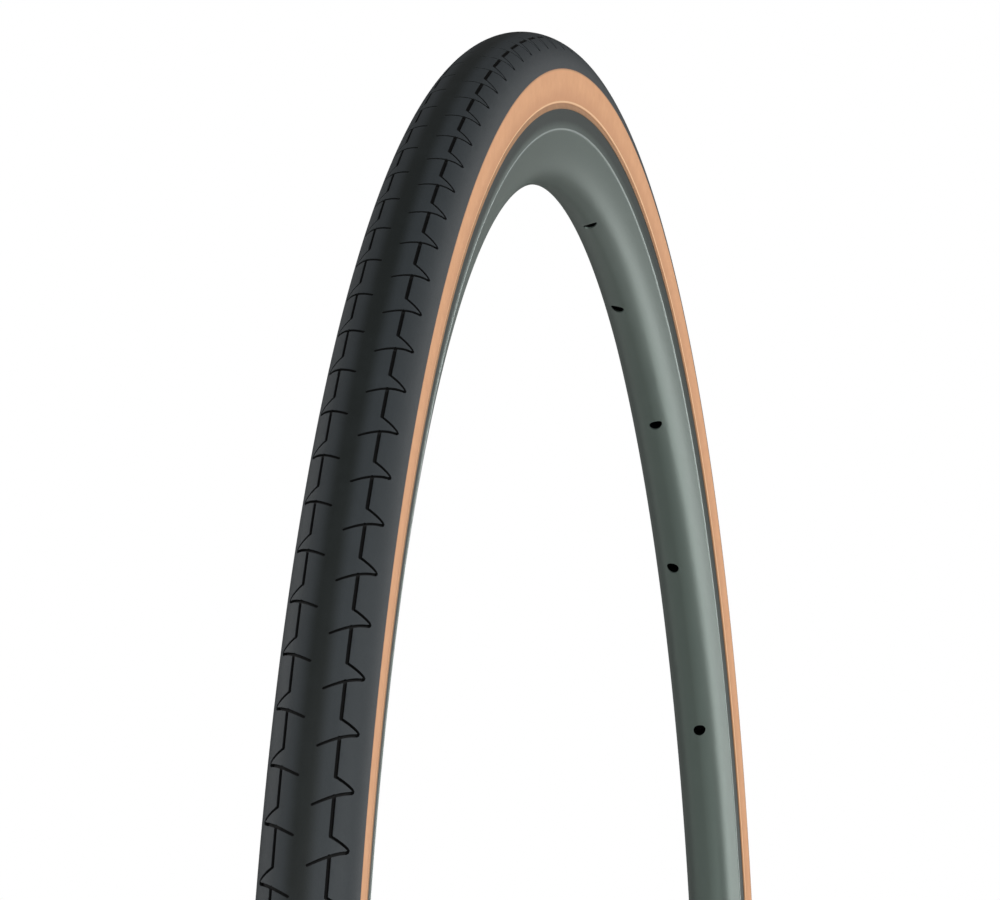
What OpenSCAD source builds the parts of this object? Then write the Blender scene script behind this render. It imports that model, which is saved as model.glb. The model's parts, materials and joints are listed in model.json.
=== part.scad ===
// Road bicycle wheel hoop: clincher tyre, inner tube and drilled double-wall rim.
// Millimetres. Wheel axle along Y through the origin, +Z up, valve at the bottom.

/* [Tyre] */
// Height of the inflated tyre from the bead seat to the tread crown
tyre_h = 26.1; // [24:0.1:32]
// Greatest width of the inflated tyre
tyre_w = 21.6; // [20.4:0.1:26]
// Height of the widest place above the bead seat
widest_h = 15.3; // [14:0.1:16]
// Drop from the crown to the edge of the tread rubber
tread_drop = 10.3; // [9:0.1:11]
// Tread rubber thickness at the crown
tread_t = 2; // [1.4:0.1:2.4]
// Thickness of the breaker strip under the tread
breaker_t = 0.4; // [0.3:0.05:0.6]
// Width of the breaker strip
breaker_w = 14; // [10:0.5:16]
// Thickness of one casing ply
ply_t = 0.5; // [0.35:0.05:0.55]
// Thickness of the sidewall skin
skin_t = 0.5; // [0.4:0.05:0.6]
// Thickness of the chafer strip round the bead
chafer_t = 0.35; // [0.2:0.05:0.4]
// Height of the chafer edge above the rim edge
chafer_h = 1.5; // [1:0.1:2]
// Diameter of the bead wire
bead_wire_d = 1.8; // [1.2:0.1:2]
// Wall thickness of the inner tube
tube_t = 0.8; // [0.6:0.05:1]

/* [Rim] */
// Bead seat diameter
seat_d = 622; // [500:1:750]
// Height of the rim edge above the bead seat
flange_h = 6; // [5:0.1:6.5]
// Outside width of the rim
rim_w = 19.2; // [18.8:0.1:23.2]
// Rim depth from the edge to the spoke bed
rim_depth = 20.9; // [18:0.1:28]
// Height of the braking track
track_h = 6.2; // [5:0.1:7]
// Side wall thickness of the box section
wall_t = 1.3; // [1:0.1:1.6]
// Wall thickness of the spoke bed
bed_t = 1.8; // [1.4:0.1:2.4]
// Depth of the well below the bead seat
well_depth = 2.4; // [2:0.1:3]
// Rim tape thickness
tape_t = 0.5; // [0.3:0.05:0.8]

/* [Spoke holes] */
// Number of spoke holes
spoke_count = 28; // [20:4:36]
// Spoke hole diameter
spoke_hole_d = 4; // [3.6:0.1:5]
// Sideways offset of the holes, left and right in turn
spoke_stagger = 1.25; // [0:0.05:1.6]
// Diameter of the nipple access holes in the upper wall
access_d = 5.8; // [5.4:0.1:6]

/* [Valve] */
// Valve stem diameter
stem_d = 6; // [5:0.1:6.2]
// Length of the valve stem from the well to its tip
stem_len = 40; // [34:1:60]
// Clearance of the valve holes round the stem
stem_clear = 0.25; // [0.15:0.05:0.4]
// Valve pin diameter
pin_d = 1.4; // [1.2:0.1:1.6]
// Inward stroke of the valve pin
pin_stroke = 2; // [1:0.1:2.4]
// Diameter of the knurled rim nut
rim_nut_d = 11; // [10:0.5:14]
// Height of the knurled rim nut
rim_nut_h = 4; // [3:0.5:6]
// Diameter of the dust cap
cap_d = 8; // [7.8:0.1:9]
// Running clearance between sliding valve pieces, on the radius
run_fit = 0.05; // [0.02:0.01:0.1]
// Seating gap between pieces that rest together
seat_gap = 0.05; // [0.02:0.01:0.1]

/* [Hidden] */

LEFT = 1;
RIGHT = -1;
RING_FN = 180;
ROUND_FN = 64;
LOBE_FN = 12;
CROWN_STEPS = 12;
SIDE_STEPS = 7;
FILLET_STEPS = 4;
WALL_STEPS = 7;
SEAM_TURN = 37;
over = 1;
far = 60;

// tyre section, in radius and side distance
seat_r = seat_d / 2;
edge_r = seat_r + flange_h;
crown_r = seat_r + tyre_h;
mid_r = seat_r + widest_h;
tread_edge_r = crown_r - tread_drop;
casing_half = tyre_w / 2 - skin_t;
casing_rise = crown_r - tread_t - breaker_t - mid_r;
tread_rise = crown_r - mid_r;
fullest_ratio = 0.93;
rim_ratio = min(fullest_ratio, rim_w / tyre_w);
side_drop = (mid_r - edge_r) / sqrt(1 - rim_ratio * rim_ratio);
hook_wall = 2.5;
flange_wall = 1.9;
hook_half = rim_w / 2 - hook_wall;
flange_half = rim_w / 2 - flange_wall;
heel_fillet = 0.5;
least_arc = 0.05;
least_fillet = 1.2;
most_fillet = 2;
edge_half = casing_half * rim_ratio;
snug_half = hook_half - 2 * seat_gap - chafer_t;
bead_half = min(snug_half, edge_half - least_fillet - heel_fillet);
turn_fillet = max(least_fillet, min(most_fillet, edge_half - bead_half - heel_fillet));
ledge_r = edge_r + seat_gap + chafer_t;
join_r = ledge_r + turn_fillet;
join_a = acos((mid_r - join_r) / side_drop);
turn_y = casing_half * sin(join_a) - turn_fillet;
chafer_top_r = edge_r + chafer_h;
casing_t = 2 * ply_t;

// bead foot
bead_wire_r = bead_wire_d / 2;
lobe_wall = 0.7;
lobe_r = bead_wire_r + lobe_wall;
lobe_y = bead_half - lobe_r;
foot_r = seat_r + seat_gap + chafer_t + lobe_r;
foot_in = lobe_y - lobe_r - chafer_t;

// rim section
half = rim_w / 2;
bed_r = edge_r - rim_depth;
ridge_drop = 0.3;
ridge_r = edge_r - track_h - ridge_drop;
track_draft = 0.6;
track_half = half - track_draft;
ridge_out = 0.12;
ridge_h = 0.5;
body_step = 0.1;
body_half = track_half - body_step;
belly_ratio = 0.68;
belly_half = belly_ratio * half;
edge_round = 0.35;
hook_h = 1.2;
hook_slope = 0.5;
well_r = seat_r - well_depth;
tape_ease = 0.1;
well_half = foot_in + tape_ease;
well_slope = 0.9;
seat_wall = 1.4;
well_wall = 1.3;
belly_rise = 4;
hole_margin = 0.1;
bed_flat = spoke_stagger + spoke_hole_d / 2 + hole_margin;
drill_reach = 4;

// tube and tape
tape_top = well_r + tape_t;
tape_half = well_half - tape_ease;
patch_t = 1.2;
patch_gap = 0.1;
patch_r = tape_top + patch_gap;
patch_half_a = 2.8;
tube_clear = 0.15;
tube_floor = join_r + tube_clear;
tube_bottom = patch_r + patch_t + seat_gap;
neck_half = foot_in - tube_clear;
patch_half = neck_half - tube_clear;
air_d = 2.4;

// valve, measured along the stem towards the axle
stem_r = stem_d / 2;
stem_base = patch_r + patch_t;
stem_foot_r = 2;
stem_tip = well_r - stem_len;
valve_hole_r = stem_r + stem_clear;
core_r = 1.35;
core_len = 15;
core_hex_h = 4;
core_hex_r = 2.2;
core_flat = 1.7;
core_neck_r = 1.6;
core_neck_h = 3.5;
core_top = core_hex_h + core_neck_h;
core_seal_h = 1;
core_seal_at = 6;
core_seal_in = 1;
pin_r = pin_d / 2;
pin_thread_h = 0.3;
pin_thread_r = pin_r + pin_thread_h;
pin_lip = 0.15;
pin_head_r = pin_thread_r + pin_lip;
pin_head_h = 0.8;
nut_gap = 0.3;
lock_nut_h = 3;
lock_nut_r = 2;
lock_nut_down = 1.5;
lock_nut_up = 0.8;
lock_nut_at = core_top + pin_stroke + lock_nut_down + nut_gap;
pin_head_at = lock_nut_at + lock_nut_h + lock_nut_up + nut_gap;
pin_top = pin_head_at + pin_head_h;
poppet_h = 1;
pin_seal_h = 0.7;
pin_seal_gap = 0.1;
poppet_gap = 0.15;
poppet_r = core_r - poppet_gap;
poppet_at = -core_len - pin_seal_gap - pin_seal_h - poppet_h;
cap_r = cap_d / 2;
cap_skirt = 6;
cap_room = 0.8;
cap_pinch = 0.1;
cap_inner_r = stem_r - cap_pinch;
cap_top = pin_top + cap_room;
cap_lid = 1.2;
cap_round = 1;
cap_ribs = 10;
cap_rib_r = 0.35;
washer_t = 1;
washer_r = 4;
washer_gap = 0.1;
washer_base = bed_r - washer_gap;
rim_nut_r = rim_nut_d / 2;
rim_nut_base = washer_base - washer_t - seat_gap;
knurls = 20;
knurl_r = 0.45;
small_knurls = 12;
small_knurl_r = 0.25;
nut_bevel = 0.4;

// rim joint sleeve, opposite the valve
sleeve_half_a = 4.6;
sleeve_gap = 0.1;
sleeve_foot = 4;
sleeve_roof = 1.8;
sleeve_slot = 6;

// hole pattern: the valve hole lies midway between two spoke holes
spoke_step = 360 / spoke_count;
valve_angle = -90;
function spoke_angle(k) = valve_angle + spoke_step * (k + 0.5);
function spoke_side(k) = (k % 2 == 0) ? LEFT : RIGHT;

function lerp(a, b, u) = a + (b - a) * u;
function bend(a, b, c, u) = lerp(lerp(a, b, u), lerp(b, c, u), u);
function back_to_front(p) = [for (i = [len(p) - 1:-1:0]) [p[i][0], -p[i][1]]];
function both(p) = concat(p, back_to_front(p));

// arc from angle a to angle b, measured from +side towards +radius
function arc(r, y, rad, a, b, n) =
    [for (i = [0:n]) [r + rad * sin(lerp(a, b, i / n)), y + rad * cos(lerp(a, b, i / n))]];

// casing surface, moved inwards by t, from the crown to the bead foot
function crown_arc(w, h, n) =
    [for (i = [0:n]) [mid_r + h * cos(90 * i / n), w * sin(90 * i / n)]];
function side_arc(w, a, n) =
    [for (i = [1:n]) [mid_r - side_drop * cos(lerp(90, a, i / n)),
                      w * sin(lerp(90, a, i / n))]];
function floor_angle(w) = acos((mid_r - tube_floor - w) / side_drop);
function heel(t) =
    arc(ledge_r - heel_fillet, bead_half + heel_fillet, max(least_arc, heel_fillet + t),
        90, 180, FILLET_STEPS);
function casing_side(t) =
    concat(crown_arc(casing_half - t, casing_rise - t, CROWN_STEPS),
           side_arc(casing_half - t, join_a, SIDE_STEPS),
           arc(join_r, turn_y, turn_fillet - t, 0, -90, FILLET_STEPS),
           heel(t),
           [[seat_r, bead_half - t]]);

module casing_region(t) {
    polygon(both(casing_side(t)));
}

module band(r0, r1, y0, y1) {
    translate([r0, y0]) square([r1 - r0, y1 - y0]);
}

// one side of the wheel, 1 for left and -1 for right
module on_side(side) {
    if (side == LEFT) children();
    else mirror([0, 1]) children();
}

// turns a section of radius and side distance about the axle
module about_axle() {
    rotate([-90, 0, 0]) rotate_extrude($fn = RING_FN) children();
}

module arc_about_axle(centre, half_a) {
    rotate([-90, 0, 0])
        rotate([0, 0, -centre - half_a])
            rotate_extrude(angle = 2 * half_a, $fn = RING_FN) children();
}

module tyre_layer(t0, t1) {
    difference() {
        casing_region(t0);
        casing_region(t1);
    }
}

module lobe_discs(r, sides) {
    for (s = [LEFT, RIGHT])
        translate([foot_r, s * lobe_y]) circle(r = r, $fn = sides);
}

module tread_cap() {
    color("#3c4246") about_axle() difference() {
        intersection() {
            polygon(both(crown_arc(tyre_w / 2, tread_rise, 2 * CROWN_STEPS)));
            band(tread_edge_r, crown_r + over, -tyre_w, tyre_w);
        }
        casing_region(0);
        intersection() {
            casing_region(-breaker_t);
            band(mid_r, crown_r, -breaker_w / 2, breaker_w / 2);
        }
    }
}

module breaker_strip() {
    color("#8a7f2e") about_axle() intersection() {
        tyre_layer(-breaker_t, 0);
        band(mid_r, crown_r, -breaker_w / 2, breaker_w / 2);
    }
}

module casing_ply_outer() {
    color("#c79a72") about_axle() difference() {
        intersection() {
            tyre_layer(0, ply_t);
            band(foot_r, crown_r, -tyre_w, tyre_w);
        }
        lobe_discs(lobe_r, LOBE_FN);
    }
}

module casing_ply_inner() {
    color("#b98c64") about_axle() difference() {
        union() {
            intersection() {
                tyre_layer(ply_t, casing_t);
                band(foot_r, crown_r, -tyre_w, tyre_w);
            }
            lobe_discs(lobe_r, LOBE_FN);
        }
        lobe_discs(bead_wire_r, ROUND_FN);
    }
}

module sidewall(side) {
    color("#d8b798") about_axle() on_side(side) intersection() {
        tyre_layer(-skin_t, 0);
        band(chafer_top_r, tread_edge_r, 0, tyre_w);
    }
}

module sidewall_left() { sidewall(LEFT); }
module sidewall_right() { sidewall(RIGHT); }

module bead_wire(side) {
    color("#a9a9a9") about_axle() on_side(side)
        translate([foot_r, lobe_y]) circle(r = bead_wire_r, $fn = ROUND_FN);
}

module bead_wire_left() { bead_wire(LEFT); }
module bead_wire_right() { bead_wire(RIGHT); }

module chafer(side) {
    color("#6d5340") about_axle() on_side(side) union() {
        intersection() {
            tyre_layer(-chafer_t, 0);
            band(foot_r, chafer_top_r, 0, tyre_w);
        }
        intersection() {
            difference() {
                translate([foot_r, lobe_y]) circle(r = lobe_r + chafer_t, $fn = LOBE_FN);
                translate([foot_r, lobe_y]) circle(r = lobe_r, $fn = LOBE_FN);
            }
            band(foot_r - far, foot_r, 0, tyre_w);
        }
    }
}

module chafer_left() { chafer(LEFT); }
module chafer_right() { chafer(RIGHT); }

function tube_inset(w) = casing_t + tube_clear + w;
function tube_side(w) =
    concat(crown_arc(casing_half - tube_inset(w), casing_rise - tube_inset(w), CROWN_STEPS),
           side_arc(casing_half - tube_inset(w), floor_angle(w), SIDE_STEPS),
           [[tube_floor + w, neck_half - w],
            [tube_bottom + w, neck_half - w]]);

module inner_tube() {
    color("#222222") difference() {
        about_axle() difference() {
            polygon(both(tube_side(0)));
            polygon(both(tube_side(tube_t)));
        }
        valve_bar(tube_bottom - over, tube_bottom + over + tube_t, air_d / 2);
    }
}

// a bar on the valve line between two radii, outer radius first
module valve_bar(r_low, r_high, rad) {
    translate([0, 0, -r_high]) rotate([0, 0, SEAM_TURN])
        cylinder(h = r_high - r_low, r = rad, $fn = ROUND_FN);
}

// a tube on the stem, placed by its distance past the stem tip
module stem_bar(from, to, rad) {
    translate([0, 0, from - stem_tip]) cylinder(h = to - from, r = rad, $fn = ROUND_FN);
}

module valve_patch() {
    color("#2b2b2b") difference() {
        arc_about_axle(valve_angle, patch_half_a)
            band(patch_r, patch_r + patch_t, -patch_half, patch_half);
        valve_bar(patch_r - over, patch_r + patch_t + over, stem_foot_r);
    }
}

module rim_tape() {
    color("#d9d3c4") difference() {
        about_axle() band(well_r, tape_top, -tape_half, tape_half);
        valve_bar(well_r - over, tape_top + over, valve_hole_r);
    }
}

function rim_wall(w, r, belly, bed, flat) =
    [for (i = [0:WALL_STEPS])
        bend([r, w], [bed + belly_rise, belly], [bed, flat], i / WALL_STEPS)];

function rim_skin() =
    concat([[well_r, 0],
            [well_r, well_half],
            [seat_r, well_half + well_slope],
            [seat_r, flange_half],
            [edge_r - hook_h - hook_slope, flange_half],
            [edge_r - hook_h, hook_half],
            [edge_r - edge_round, hook_half],
            [edge_r, hook_half + edge_round],
            [edge_r, half - edge_round],
            [edge_r - edge_round, half],
            [ridge_r + ridge_h, track_half],
            [ridge_r + ridge_h, track_half + ridge_out],
            [ridge_r + ridge_h / 2, track_half + ridge_out]],
           rim_wall(body_half, ridge_r, belly_half, bed_r, bed_flat));

function cavity(g) =
    concat([[well_r - well_wall - g, 0],
            [well_r - well_wall - g, well_half + wall_t / 2 + g],
            [seat_r - seat_wall - g, well_half + wall_t / 2 + well_slope + g]],
           rim_wall(body_half - wall_t - g, seat_r - seat_wall - g,
                    belly_half - wall_t - g, bed_r + bed_t + g, bed_flat - g));

module rim_region() {
    polygon(both(rim_skin()));
}

module cavity_region(g) {
    polygon(both(cavity(g)));
}

module radial_bar(angle, y, r0, r1, d) {
    rotate([0, -angle, 0]) translate([r0, y, 0]) rotate([0, 90, 0])
        rotate([0, 0, SEAM_TURN]) cylinder(h = r1 - r0, d = d, $fn = ROUND_FN);
}

module rim() {
    color("#5c6a64") difference() {
        about_axle() difference() {
            rim_region();
            cavity_region(0);
        }
        for (k = [0:spoke_count - 1]) {
            radial_bar(spoke_angle(k), spoke_side(k) * spoke_stagger,
                       bed_r - over, bed_r + bed_t + drill_reach, spoke_hole_d);
            radial_bar(spoke_angle(k), 0, well_r - well_wall - over, seat_r - over / 2,
                       access_d);
        }
        valve_bar(bed_r - over, bed_r + bed_t + drill_reach, valve_hole_r);
        valve_bar(well_r - well_wall - over, seat_r - over / 2, valve_hole_r);
    }
}

module rim_joint_sleeve() {
    color("#8c9490") arc_about_axle(-valve_angle, sleeve_half_a) difference() {
        cavity_region(sleeve_gap);
        band(bed_r + bed_t + sleeve_foot, well_r - well_wall - sleeve_roof,
             -sleeve_slot / 2, sleeve_slot / 2);
    }
}

module valve_stem() {
    color("#c9b36a") difference() {
        union() {
            valve_bar(stem_tip, patch_r, stem_r);
            valve_bar(stem_tip, stem_base, stem_foot_r);
        }
        stem_bar(-stem_len - far, over, core_r);
    }
}

module valve_core() {
    color("#d2bf7c") difference() {
        union() {
            stem_bar(-core_len, 0, core_r);
            intersection() {
                stem_bar(0, core_hex_h, core_hex_r);
                translate([-core_flat, -core_hex_r, -stem_tip])
                    cube([2 * core_flat, 2 * core_hex_r, core_hex_h]);
            }
            stem_bar(core_hex_h, core_top, core_neck_r);
        }
        stem_bar(-core_len - over, core_top + over, pin_r + run_fit);
        difference() {
            stem_bar(-core_seal_at, core_seal_h - core_seal_at, core_r + over);
            stem_bar(-core_seal_at - over, over, core_seal_in);
        }
    }
}

module valve_core_seal() {
    color("#efefe6") difference() {
        stem_bar(-core_seal_at, core_seal_h - core_seal_at, core_r);
        stem_bar(-core_seal_at - over, over, core_seal_in);
    }
}

module valve_pin() {
    color("#d9c987") union() {
        stem_bar(poppet_at, pin_top, pin_r);
        stem_bar(poppet_at, poppet_at + poppet_h, poppet_r);
        stem_bar(core_top + pin_stroke + nut_gap, pin_top, pin_thread_r);
        stem_bar(pin_head_at, pin_top, pin_head_r);
    }
}

module valve_pin_seal() {
    color("#1d1d1d") difference() {
        stem_bar(-core_len - pin_seal_gap - pin_seal_h, -core_len - pin_seal_gap, poppet_r);
        stem_bar(-core_len - far, 0, pin_r);
    }
}

// knurled ring nut standing on the stem line
module ring_nut(from, to, rad, hole, count, notch) {
    difference() {
        union() {
            stem_bar(from + nut_bevel, to - nut_bevel, rad);
            stem_bar(from, to, rad - nut_bevel);
        }
        stem_bar(from - over, to + over, hole);
        for (i = [0:count - 1])
            rotate([0, 0, 360 * i / count]) translate([rad + notch / 3, 0, 0])
                stem_bar(from - over, to + over, notch);
    }
}

module lock_nut() {
    color("#d2bf7c") ring_nut(lock_nut_at, lock_nut_at + lock_nut_h, lock_nut_r,
                              pin_thread_r + run_fit, small_knurls, small_knurl_r);
}

module rim_nut() {
    color("#cfd2d3") ring_nut(stem_tip - rim_nut_base, stem_tip - rim_nut_base + rim_nut_h,
                              rim_nut_r, stem_r + run_fit, knurls, knurl_r);
}

module rim_nut_washer() {
    color("#1d1d1d") difference() {
        valve_bar(washer_base - washer_t, washer_base, washer_r);
        valve_bar(washer_base - washer_t - over, washer_base + over, stem_r + run_fit);
    }
}

module dust_cap() {
    color("#101010") difference() {
        union() {
            stem_bar(-cap_skirt, cap_top + cap_lid - cap_round, cap_r - cap_rib_r);
            stem_bar(-cap_skirt, cap_top + cap_lid, cap_r - cap_rib_r - cap_round);
            for (i = [0:cap_ribs - 1])
                rotate([0, 0, 360 * i / cap_ribs]) translate([cap_r - cap_rib_r, 0, 0])
                    stem_bar(-cap_skirt, cap_top - cap_round, cap_rib_r);
        }
        stem_bar(-cap_skirt - over, nut_gap, stem_r + run_fit);
        stem_bar(-cap_skirt - over, cap_top, cap_inner_r);
    }
}

tread_cap();
breaker_strip();
casing_ply_outer();
casing_ply_inner();
sidewall_left();
sidewall_right();
bead_wire_left();
bead_wire_right();
chafer_left();
chafer_right();
inner_tube();
valve_patch();
rim_tape();
rim();
rim_joint_sleeve();
valve_stem();
valve_core();
valve_core_seal();
valve_pin();
valve_pin_seal();
lock_nut();
rim_nut();
rim_nut_washer();
dust_cap();
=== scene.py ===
"""Looks of a road bicycle tyre on its drilled rim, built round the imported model."""

import json
import logging
import math
from dataclasses import dataclass
from enum import Enum
from typing import Callable, Iterable

import bmesh
import bpy
from mathutils import Matrix, Vector
from mathutils.geometry import delaunay_2d_cdt

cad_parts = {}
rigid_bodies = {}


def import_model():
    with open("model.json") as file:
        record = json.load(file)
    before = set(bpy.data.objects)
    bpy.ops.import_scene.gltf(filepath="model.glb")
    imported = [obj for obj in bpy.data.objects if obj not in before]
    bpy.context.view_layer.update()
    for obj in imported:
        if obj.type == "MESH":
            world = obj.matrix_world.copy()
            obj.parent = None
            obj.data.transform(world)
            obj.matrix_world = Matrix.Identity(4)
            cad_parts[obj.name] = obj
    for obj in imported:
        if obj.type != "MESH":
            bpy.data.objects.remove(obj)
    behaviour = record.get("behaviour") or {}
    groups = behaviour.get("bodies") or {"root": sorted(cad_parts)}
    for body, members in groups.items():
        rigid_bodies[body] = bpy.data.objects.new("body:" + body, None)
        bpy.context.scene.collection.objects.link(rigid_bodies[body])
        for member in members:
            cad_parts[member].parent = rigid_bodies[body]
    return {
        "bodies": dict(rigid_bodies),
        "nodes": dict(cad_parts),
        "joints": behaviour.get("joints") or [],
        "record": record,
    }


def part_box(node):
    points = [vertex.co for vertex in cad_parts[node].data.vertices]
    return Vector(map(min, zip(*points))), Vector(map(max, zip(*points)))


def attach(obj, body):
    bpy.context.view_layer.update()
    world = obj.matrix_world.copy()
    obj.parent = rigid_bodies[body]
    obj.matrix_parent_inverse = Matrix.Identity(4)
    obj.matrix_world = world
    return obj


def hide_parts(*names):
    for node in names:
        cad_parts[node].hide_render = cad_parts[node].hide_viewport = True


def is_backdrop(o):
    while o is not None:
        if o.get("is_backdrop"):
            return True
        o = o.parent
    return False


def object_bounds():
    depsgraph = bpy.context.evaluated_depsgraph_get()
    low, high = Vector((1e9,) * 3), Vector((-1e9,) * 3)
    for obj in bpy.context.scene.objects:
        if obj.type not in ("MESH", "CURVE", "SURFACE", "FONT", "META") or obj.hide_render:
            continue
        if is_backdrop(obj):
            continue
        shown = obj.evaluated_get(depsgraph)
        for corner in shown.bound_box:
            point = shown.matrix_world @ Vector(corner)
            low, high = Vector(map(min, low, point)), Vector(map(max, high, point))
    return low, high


log = logging.getLogger("wheel_hoop")

Point2 = tuple[float, float]
Colour = tuple[float, float, float]
Material = bpy.types.Material
Piece = bpy.types.Object
MM = 0.001


class Side(Enum):
    """The two sides of the wheel, by the sign of Y."""

    LEFT = 1
    RIGHT = -1


class Value:
    """A shader socket that carries a number, with arithmetic that adds Math nodes."""

    def __init__(self, sheet: "NodeSheet", socket: bpy.types.NodeSocket) -> None:
        """Keeps the node sheet and the socket."""
        self.sheet = sheet
        self.socket = socket

    def __add__(self, other: "Value | float") -> "Value":
        """This value plus another."""
        return self.sheet.math("ADD", self, other)

    __radd__ = __add__

    def __sub__(self, other: "Value | float") -> "Value":
        """This value minus another."""
        return self.sheet.math("SUBTRACT", self, other)

    def __rsub__(self, other: "Value | float") -> "Value":
        """Another value minus this one."""
        return self.sheet.math("SUBTRACT", other, self)

    def __mul__(self, other: "Value | float") -> "Value":
        """This value times another."""
        return self.sheet.math("MULTIPLY", self, other)

    __rmul__ = __mul__

    def __truediv__(self, other: "Value | float") -> "Value":
        """This value divided by another."""
        return self.sheet.math("DIVIDE", self, other)

    def apply(self, operation: str) -> "Value":
        """This value through a Math node of one input, such as SQRT."""
        return self.sheet.math(operation, self)

    def wave(self) -> "Value":
        """A wave from 0 to 1 with this value as its angle in radians."""
        return (self.apply("SINE") + 1) * 0.5

    def rise(self, low: float, high: float) -> "Value":
        """A smooth step from 0 at low to 1 at high, or the other way if low is the larger."""
        if low > high:
            return 1 - self.rise(high, low)
        node = self.sheet.node(
            "ShaderNodeMapRange", {"interpolation_type": "SMOOTHSTEP"},
            {"Value": self, "From Min": low, "From Max": high})
        return Value(self.sheet, node.outputs["Result"])

    def band(self, low: float, high: float, soft: float) -> "Value":
        """1 between low and high, falling to 0 over soft on both sides."""
        return self.rise(low - soft, low) * self.rise(high + soft, high)


class NodeSheet:
    """The node tree of one material, with short ways to add nodes."""

    def __init__(self, name: str) -> None:
        """Makes an empty material called name."""
        self.material = bpy.data.materials.new(name)
        self.material.use_nodes = True
        self.tree = self.material.node_tree
        self.tree.nodes.clear()

    def node(self, kind: str, settings: dict | None = None,
             inputs: dict | None = None) -> bpy.types.Node:
        """Adds one node.

        Args:
            kind: the node's type name.
            settings: attributes, set first.
            inputs: values or links, by the name or number of the socket.

        Returns:
            The new node.
        """
        node = self.tree.nodes.new(kind)
        for key, value in (settings or {}).items():
            setattr(node, key, value)
        for key, value in (inputs or {}).items():
            self.feed(node.inputs[key], value)
        return node

    def feed(self, socket: bpy.types.NodeSocket, value: object) -> None:
        """Links or sets one input socket."""
        if isinstance(value, Value):
            value = value.socket
        if isinstance(value, bpy.types.NodeSocket):
            self.tree.links.new(value, socket)
        elif isinstance(value, tuple) and len(value) == 3 and socket.type == "RGBA":
            socket.default_value = (*value, 1.0)
        else:
            socket.default_value = value

    def math(self, operation: str, *values: "Value | float") -> Value:
        """One Math node on one or two values."""
        node = self.node("ShaderNodeMath", {"operation": operation}, dict(enumerate(values)))
        return Value(self, node.outputs[0])

    def place(self) -> dict[str, Value]:
        """The point's place on the wheel.

        Returns:
            x, y, z and the distance from the axle r in metres, side as |y|, and turn,
            the angle about the axle in radians.
        """
        spot = self.node("ShaderNodeTexCoord").outputs["Object"]
        parts = self.node("ShaderNodeSeparateXYZ", inputs={0: spot})
        x, y, z = (Value(self, parts.outputs[i]) for i in range(3))
        return {"x": x, "y": y, "z": z, "side": y.apply("ABSOLUTE"),
                "r": (x * x + z * z).apply("SQRT"), "turn": self.math("ARCTAN2", z, x)}

    def noise(self, scale: float, detail: float = 4.0) -> Value:
        """Fractal noise.

        Args:
            scale: features in each metre.
            detail: octaves.

        Returns:
            The noise, from 0 to 1.
        """
        spot = self.node("ShaderNodeTexCoord").outputs["Object"]
        node = self.node("ShaderNodeTexNoise", inputs={
            "Vector": spot, "Scale": scale, "Detail": detail, "Roughness": 0.6})
        return Value(self, node.outputs["Fac"])

    def mix(self, factor: "Value | float", low: object, high: object) -> bpy.types.NodeSocket:
        """A colour between low and high by factor."""
        node = self.node("ShaderNodeMix", {"data_type": "RGBA"})
        self.feed(node.inputs["Factor"], factor)
        self.feed(node.inputs[6], low)
        self.feed(node.inputs[7], high)
        return node.outputs[2]

    def bump(self, height: Value, depth: float, strength: float = 1.0) -> bpy.types.NodeSocket:
        """A bumped normal from a height of 0 to 1 that stands for depth metres."""
        return self.node("ShaderNodeBump", inputs={
            "Height": height, "Distance": depth, "Strength": strength}).outputs[0]

    def surface(self, **inputs: object) -> Material:
        """Closes the sheet with a Principled surface.

        Args:
            inputs: its inputs, with _ for a space in their names.

        Returns:
            The finished material.
        """
        shader = self.node("ShaderNodeBsdfPrincipled", inputs={
            key.replace("_", " "): value for key, value in inputs.items()})
        out = self.node("ShaderNodeOutputMaterial")
        self.tree.links.new(shader.outputs[0], out.inputs["Surface"])
        return self.material


def linear(red: int, green: int, blue: int) -> Colour:
    """A colour given in display values of 0 to 255, as linear light."""
    return tuple((c / 255 / 12.92) if c < 11 else ((c / 255 + 0.055) / 1.055) ** 2.4
                 for c in (red, green, blue))


@dataclass(frozen=True)
class TreadRubber:
    """Charcoal tread rubber with a darker smooth band on the crown and painted shade in the grooves.
    """

    middle_radius: float
    rise: float
    base: Colour = linear(46, 51, 54)
    crown: Colour = linear(23, 28, 27)
    # painted shade: near black for the walls and floors of the grooves
    groove: Colour = linear(4, 5, 5)
    band_half: float = 1.9 * MM
    cloudy: Colour = linear(62, 68, 72)
    grain_scale: float = 2600.0

    def material(self) -> Material:
        """Builds the finish."""
        sheet = NodeSheet("tread_rubber")
        at = sheet.place()
        up = (at["r"] - self.middle_radius) / self.rise
        out = at["y"] / self.rise
        height = (up * up + out * out).apply("SQRT")
        sunk = height.rise(0.998, 0.980)
        cloud = sheet.noise(90.0, 5.0)
        fine = sheet.noise(self.grain_scale, 3.0)
        crown = at["side"].rise(self.band_half * 2.1, self.band_half * 0.5)
        colour = sheet.mix(crown * (0.75 + cloud * 0.4), self.base, self.crown)
        colour = sheet.mix((cloud - 0.45) * 0.5, colour, self.cloudy)
        # painted shade: the grooves' walls and floors darkened by their depth
        colour = sheet.mix(sunk, colour, self.groove)
        return sheet.surface(
            Base_Color=colour, Roughness=0.52 + fine * 0.16 + sunk * 0.2,
            Specular_IOR_Level=0.3, Normal=sheet.bump(fine * 0.7 + cloud * 0.3, 0.05 * MM, 0.5))


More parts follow.
